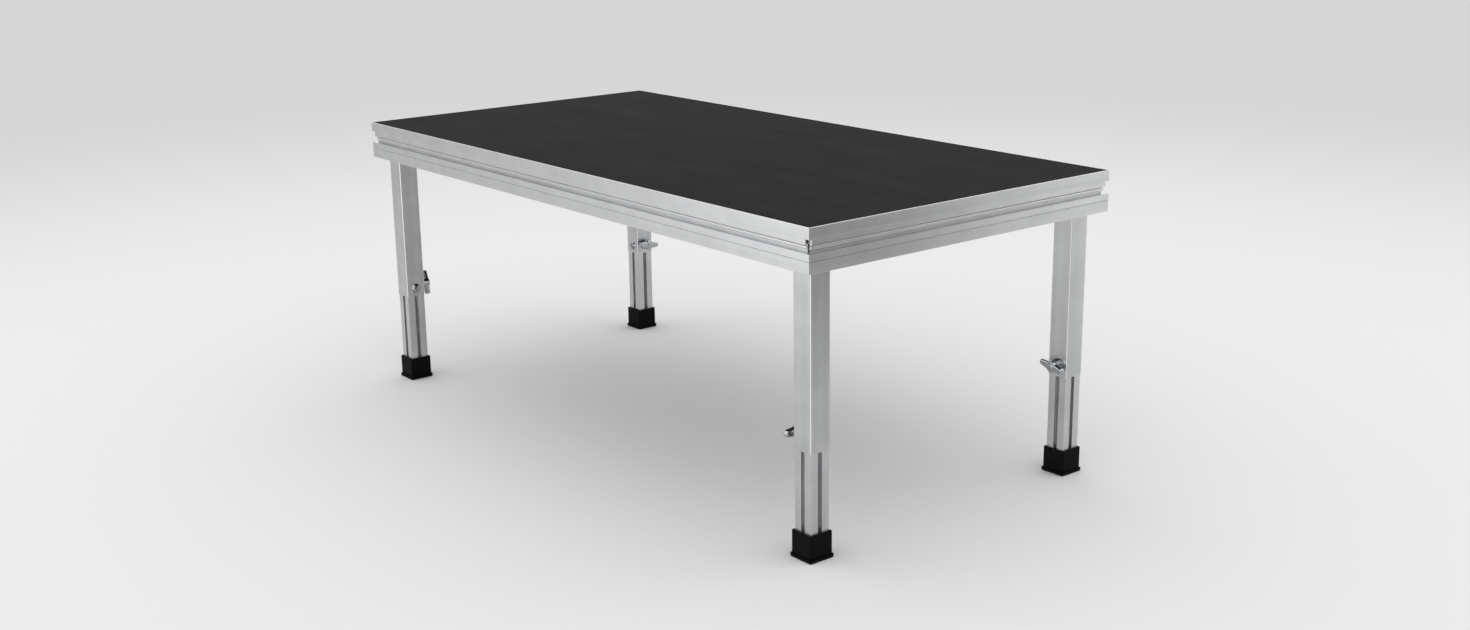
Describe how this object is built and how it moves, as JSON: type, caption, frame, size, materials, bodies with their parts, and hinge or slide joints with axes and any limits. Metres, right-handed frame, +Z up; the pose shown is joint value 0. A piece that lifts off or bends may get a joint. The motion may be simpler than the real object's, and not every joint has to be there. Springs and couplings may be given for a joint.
{
  "type": "stage riser platform",
  "caption": "Rectangular stage deck with a dark non-slip board in a grooved aluminium edge rail, on square telescopic legs with clamp knobs and rubber feet.",
  "frame": {"origin": "on the floor, under the middle of the deck", "axes": "+X along the deck's 2 m side, +Y across it, +Z up"},
  "size_m": [2, 1, 0.8],
  "materials": {
    "deck_board": "charcoal film-faced plywood with a fine non-slip face",
    "rail_aluminium": "natural anodised extrusion, satin",
    "bearer_aluminium": "mill-finish extrusion",
    "socket_aluminium": "mill-finish extrusion, machined",
    "zinc_steel": "zinc-plated steel",
    "black_plastic": "moulded black plastic",
    "leg_tube_aluminium": "natural anodised tube, satin",
    "stem_aluminium": "natural anodised slotted extrusion, satin",
    "bright_chrome": "bright chrome plating",
    "foot_rubber": "moulded black rubber, matt"
  },
  "bodies": {
    "deck": {"deck_panel": "deck_board", "rail_front": "rail_aluminium", "rail_right": "rail_aluminium", "rail_back": "rail_aluminium", "rail_left": "rail_aluminium", "bearer_1": "bearer_aluminium", "bearer_2": "bearer_aluminium", "bearer_3": "bearer_aluminium", "bearer_brackets": "bearer_aluminium", "corner_cleats": "bearer_aluminium", "leg_socket_1": "socket_aluminium", "leg_socket_2": "socket_aluminium", "leg_socket_3": "socket_aluminium", "leg_socket_4": "socket_aluminium", "bracket_bolts": "zinc_steel", "bracket_nuts": "zinc_steel", "panel_screws": "zinc_steel", "socket_bolts": "zinc_steel"},
    "leg_1": {"leg_tube_1": "leg_tube_aluminium", "tube_plug_1": "black_plastic", "guide_nut_1": "zinc_steel", "guide_screw_1": "bright_chrome", "clamp_nut_1": "zinc_steel"},
    "inner_leg_1": {"stem_1": "stem_aluminium", "stem_cap_1": "black_plastic", "foot_1": "foot_rubber"},
    "knob_1": {"wing_knob_1": "bright_chrome"},
    "hand_screw_1": {"clamp_screw_1": "black_plastic"},
    "leg_2": {"leg_tube_2": "leg_tube_aluminium", "tube_plug_2": "black_plastic", "guide_nut_2": "zinc_steel", "guide_screw_2": "bright_chrome", "clamp_nut_2": "zinc_steel"},
    "inner_leg_2": {"stem_2": "stem_aluminium", "stem_cap_2": "black_plastic", "foot_2": "foot_rubber"},
    "knob_2": {"wing_knob_2": "bright_chrome"},
    "hand_screw_2": {"clamp_screw_2": "black_plastic"},
    "leg_3": {"leg_tube_3": "leg_tube_aluminium", "tube_plug_3": "black_plastic", "guide_nut_3": "zinc_steel", "guide_screw_3": "bright_chrome", "clamp_nut_3": "zinc_steel"},
    "inner_leg_3": {"stem_3": "stem_aluminium", "stem_cap_3": "black_plastic", "foot_3": "foot_rubber"},
    "knob_3": {"wing_knob_3": "bright_chrome"},
    "hand_screw_3": {"clamp_screw_3": "black_plastic"},
    "leg_4": {"leg_tube_4": "leg_tube_aluminium", "tube_plug_4": "black_plastic", "guide_nut_4": "zinc_steel", "guide_screw_4": "bright_chrome", "clamp_nut_4": "zinc_steel"},
    "inner_leg_4": {"stem_4": "stem_aluminium", "stem_cap_4": "black_plastic", "foot_4": "foot_rubber"},
    "knob_4": {"wing_knob_4": "bright_chrome"},
    "hand_screw_4": {"clamp_screw_4": "black_plastic"}
  },
  "joints": [
    {"name": "leg_1_seat", "type": "slide", "parent": "deck", "child": "leg_1", "axis": [0, 0, 1], "range_m": [-0.078, 0]},
    {"name": "stem_1_height", "type": "slide", "parent": "leg_1", "child": "inner_leg_1", "axis": [0, 0, 1], "range_m": [-0.2, 0.197]},
    {"name": "knob_1_turn", "type": "hinge", "parent": "leg_1", "child": "knob_1", "pos_m": [0.886, -0.436, 0.295], "axis": [-1, 0, 0], "range_deg": [0, 270]},
    {"name": "hand_screw_1_turn", "type": "hinge", "parent": "deck", "child": "hand_screw_1", "pos_m": [0.936, -0.376, 0.732], "axis": [0, 1, 0], "range_deg": [0, 270]},
    {"name": "leg_2_seat", "type": "slide", "parent": "deck", "child": "leg_2", "axis": [0, 0, 1], "range_m": [-0.078, 0]},
    {"name": "stem_2_height", "type": "slide", "parent": "leg_2", "child": "inner_leg_2", "axis": [0, 0, 1], "range_m": [-0.2, 0.197]},
    {"name": "knob_2_turn", "type": "hinge", "parent": "leg_2", "child": "knob_2", "pos_m": [0.936, 0.386, 0.295], "axis": [0, -1, 0], "range_deg": [0, 270]},
    {"name": "hand_screw_2_turn", "type": "hinge", "parent": "deck", "child": "hand_screw_2", "pos_m": [0.876, 0.436, 0.732], "axis": [-1, 0, 0], "range_deg": [0, 270]},
    {"name": "leg_3_seat", "type": "slide", "parent": "deck", "child": "leg_3", "axis": [0, 0, 1], "range_m": [-0.078, 0]},
    {"name": "stem_3_height", "type": "slide", "parent": "leg_3", "child": "inner_leg_3", "axis": [0, 0, 1], "range_m": [-0.2, 0.197]},
    {"name": "knob_3_turn", "type": "hinge", "parent": "leg_3", "child": "knob_3", "pos_m": [-0.886, 0.436, 0.295], "axis": [1, 0, 0], "range_deg": [0, 270]},
    {"name": "hand_screw_3_turn", "type": "hinge", "parent": "deck", "child": "hand_screw_3", "pos_m": [-0.936, 0.376, 0.732], "axis": [0, -1, 0], "range_deg": [0, 270]},
    {"name": "leg_4_seat", "type": "slide", "parent": "deck", "child": "leg_4", "axis": [0, 0, 1], "range_m": [-0.078, 0]},
    {"name": "stem_4_height", "type": "slide", "parent": "leg_4", "child": "inner_leg_4", "axis": [0, 0, 1], "range_m": [-0.2, 0.197]},
    {"name": "knob_4_turn", "type": "hinge", "parent": "leg_4", "child": "knob_4", "pos_m": [-0.936, -0.386, 0.295], "axis": [0, 1, 0], "range_deg": [0, 270]},
    {"name": "hand_screw_4_turn", "type": "hinge", "parent": "deck", "child": "hand_screw_4", "pos_m": [-0.876, -0.436, 0.732], "axis": [1, 0, 0], "range_deg": [0, 270]}
  ]
}
